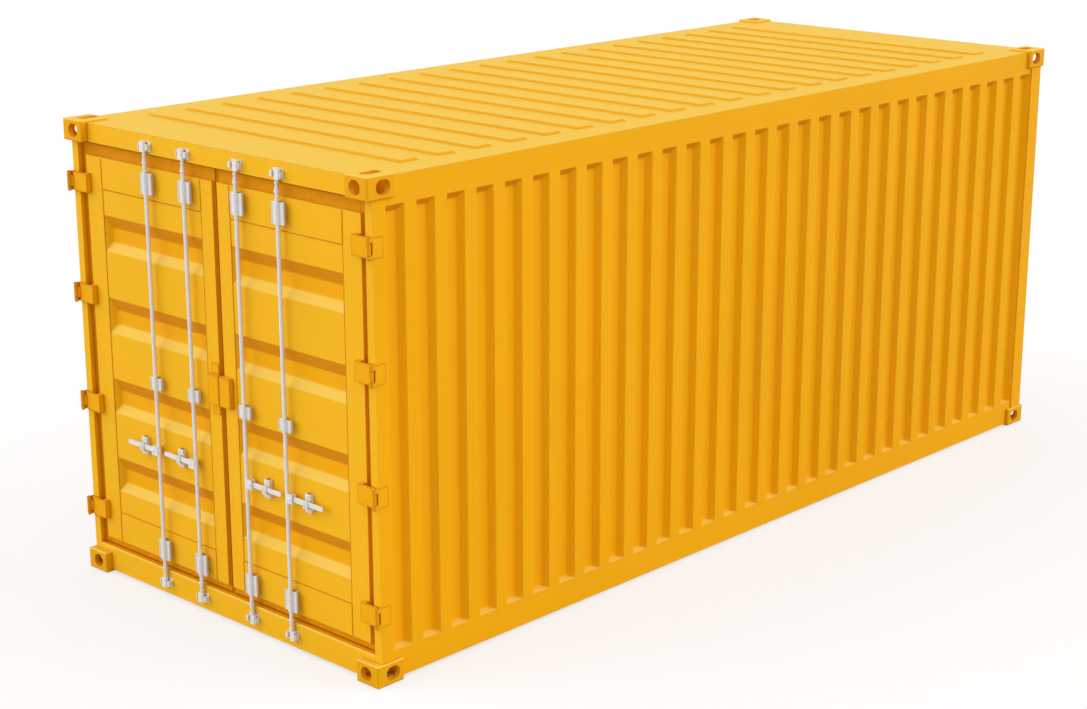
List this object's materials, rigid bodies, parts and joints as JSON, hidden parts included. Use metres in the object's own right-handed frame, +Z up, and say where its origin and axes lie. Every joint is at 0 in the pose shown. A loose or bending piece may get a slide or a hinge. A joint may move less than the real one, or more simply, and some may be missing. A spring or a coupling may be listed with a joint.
{
  "type": "shipping container",
  "caption": "Corrugated steel dry freight shipping container with hinged double doors, turning lock rods with lifting handles, corner castings and a plywood floor.",
  "frame": {"origin": "on the ground under the middle of the base", "axes": "+Z up, the door end faces -Y, +X to the right seen from the doors"},
  "size_m": [2.438, 6.058, 2.591],
  "materials": {
    "painted_steel": "satin",
    "zinc_steel": "satin",
    "seal_rubber": "matte",
    "plywood": "matte"
  },
  "bodies": {
    "container": {"bottom_corner_castings": "painted_steel", "top_corner_castings": "painted_steel", "left_door_post": "painted_steel", "right_door_post": "painted_steel", "left_front_post": "painted_steel", "right_front_post": "painted_steel", "door_header": "painted_steel", "door_sill": "painted_steel", "front_top_rail": "painted_steel", "front_bottom_rail": "painted_steel", "left_top_rail": "painted_steel", "right_top_rail": "painted_steel", "left_bottom_rail": "painted_steel", "right_bottom_rail": "painted_steel", "left_side_wall": "painted_steel", "right_side_wall": "painted_steel", "front_wall": "painted_steel", "roof_panel": "painted_steel", "floor_cross_members": "painted_steel", "floor_boards": "plywood", "cam_keepers": "zinc_steel", "left_hinge_lugs": "painted_steel", "right_hinge_lugs": "painted_steel"},
    "left_door": {"left_door_frame": "painted_steel", "left_door_panel": "painted_steel", "left_door_seal": "seal_rubber", "left_hinge_straps": "painted_steel", "left_rod_brackets": "zinc_steel", "left_handle_catches": "zinc_steel", "left_lock_plate": "painted_steel"},
    "right_door": {"right_door_frame": "painted_steel", "right_door_panel": "painted_steel", "right_door_seal": "seal_rubber", "right_hinge_straps": "painted_steel", "right_rod_brackets": "zinc_steel", "right_handle_catches": "zinc_steel", "right_lock_plate": "painted_steel"},
    "left_outer_lock_rod": {"left_outer_rod": "zinc_steel"},
    "left_outer_rod_handle": {"left_outer_handle": "zinc_steel"},
    "left_inner_lock_rod": {"left_inner_rod": "zinc_steel"},
    "left_inner_rod_handle": {"left_inner_handle": "zinc_steel"},
    "right_inner_lock_rod": {"right_inner_rod": "zinc_steel"},
    "right_inner_rod_handle": {"right_inner_handle": "zinc_steel"},
    "right_outer_lock_rod": {"right_outer_rod": "zinc_steel"},
    "right_outer_rod_handle": {"right_outer_handle": "zinc_steel"}
  },
  "joints": [
    {"name": "left_door_hinge", "type": "hinge", "parent": "container", "child": "left_door", "pos_m": [-1.207, -3.017, 1.3], "axis": [0, 0, -1], "range_deg": [0, 270]},
    {"name": "right_door_hinge", "type": "hinge", "parent": "container", "child": "right_door", "pos_m": [1.207, -3.017, 1.3], "axis": [0, 0, 1], "range_deg": [0, 270]},
    {"name": "left_outer_rod_turn", "type": "hinge", "parent": "left_door", "child": "left_outer_lock_rod", "pos_m": [-0.534, -3.004, 1.3], "axis": [0, 0, -1], "range_deg": [-110, 0]},
    {"name": "left_outer_handle_lift", "type": "hinge", "parent": "left_outer_lock_rod", "child": "left_outer_rod_handle", "pos_m": [-0.57, -3.004, 0.843], "axis": [0, -1, 0], "range_deg": [-25, 0]},
    {"name": "left_inner_rod_turn", "type": "hinge", "parent": "left_door", "child": "left_inner_lock_rod", "pos_m": [-0.212, -3.004, 1.3], "axis": [0, 0, -1], "range_deg": [-110, 0]},
    {"name": "left_inner_handle_lift", "type": "hinge", "parent": "left_inner_lock_rod", "child": "left_inner_rod_handle", "pos_m": [-0.248, -3.004, 0.843], "axis": [0, -1, 0], "range_deg": [-25, 0]},
    {"name": "right_inner_rod_turn", "type": "hinge", "parent": "right_door", "child": "right_inner_lock_rod", "pos_m": [0.212, -3.004, 1.3], "axis": [0, 0, 1], "range_deg": [-110, 0]},
    {"name": "right_inner_handle_lift", "type": "hinge", "parent": "right_inner_lock_rod", "child": "right_inner_rod_handle", "pos_m": [0.248, -3.004, 0.843], "axis": [0, 1, 0], "range_deg": [-25, 0]},
    {"name": "right_outer_rod_turn", "type": "hinge", "parent": "right_door", "child": "right_outer_lock_rod", "pos_m": [0.534, -3.004, 1.3], "axis": [0, 0, 1], "range_deg": [-110, 0]},
    {"name": "right_outer_handle_lift", "type": "hinge", "parent": "right_outer_lock_rod", "child": "right_outer_rod_handle", "pos_m": [0.57, -3.004, 0.843], "axis": [0, 1, 0], "range_deg": [-25, 0]}
  ]
}
